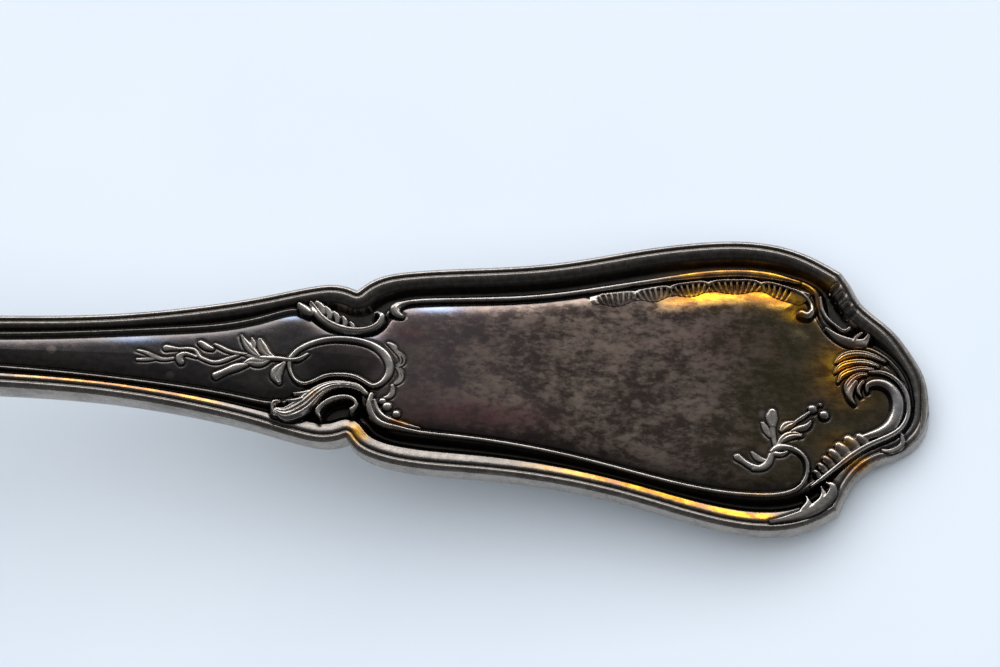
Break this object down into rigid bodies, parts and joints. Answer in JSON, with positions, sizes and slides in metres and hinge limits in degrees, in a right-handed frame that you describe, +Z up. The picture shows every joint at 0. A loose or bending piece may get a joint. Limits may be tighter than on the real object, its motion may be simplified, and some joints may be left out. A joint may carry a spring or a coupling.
{
  "type": "table spoon",
  "caption": "Rococo table spoon with a waisted flat handle, channelled border and scroll and leaf relief, and an egg-shaped bowl.",
  "frame": {"origin": "on the resting plane, under the centre of the bounding box", "axes": "+X along the spoon towards the handle's tip, +Y across it, +Z up out of the bowl's mouth"},
  "size_m": [0.21, 0.042, 0.0173],
  "materials": {
    "silver_bowl": "tarnished silver plate, worn bright on the edges",
    "silver_solder": "tarnished silver plate, worn bright on the edges",
    "silver_handle": "tarnished silver plate, worn bright on the edges",
    "silver_relief": "tarnished silver plate, worn bright on the edges",
    "silver_thread": "tarnished silver plate, worn bright on the edges"
  },
  "bodies": {
    "root": {"bowl": "silver_bowl", "bowl_heel": "silver_bowl", "neck_solder_seam": "silver_solder", "handle_blank": "silver_handle", "leaf_spray": "silver_relief", "cartouche_frame": "silver_relief", "cartouche_shell_edge": "silver_relief", "upper_scroll": "silver_relief", "upper_scroll_shell": "silver_relief", "upper_thread": "silver_thread", "lower_thread": "silver_thread", "lower_acanthus": "silver_relief", "lower_volute": "silver_relief", "side_scroll_beads": "silver_relief", "fluted_border": "silver_relief", "upper_corner_scroll": "silver_relief", "tip_scroll": "silver_relief", "tip_acanthus": "silver_relief", "tip_bead_row": "silver_relief", "flower_sprig": "silver_relief", "lower_corner_leaf": "silver_relief"}
  },
  "joints": []
}
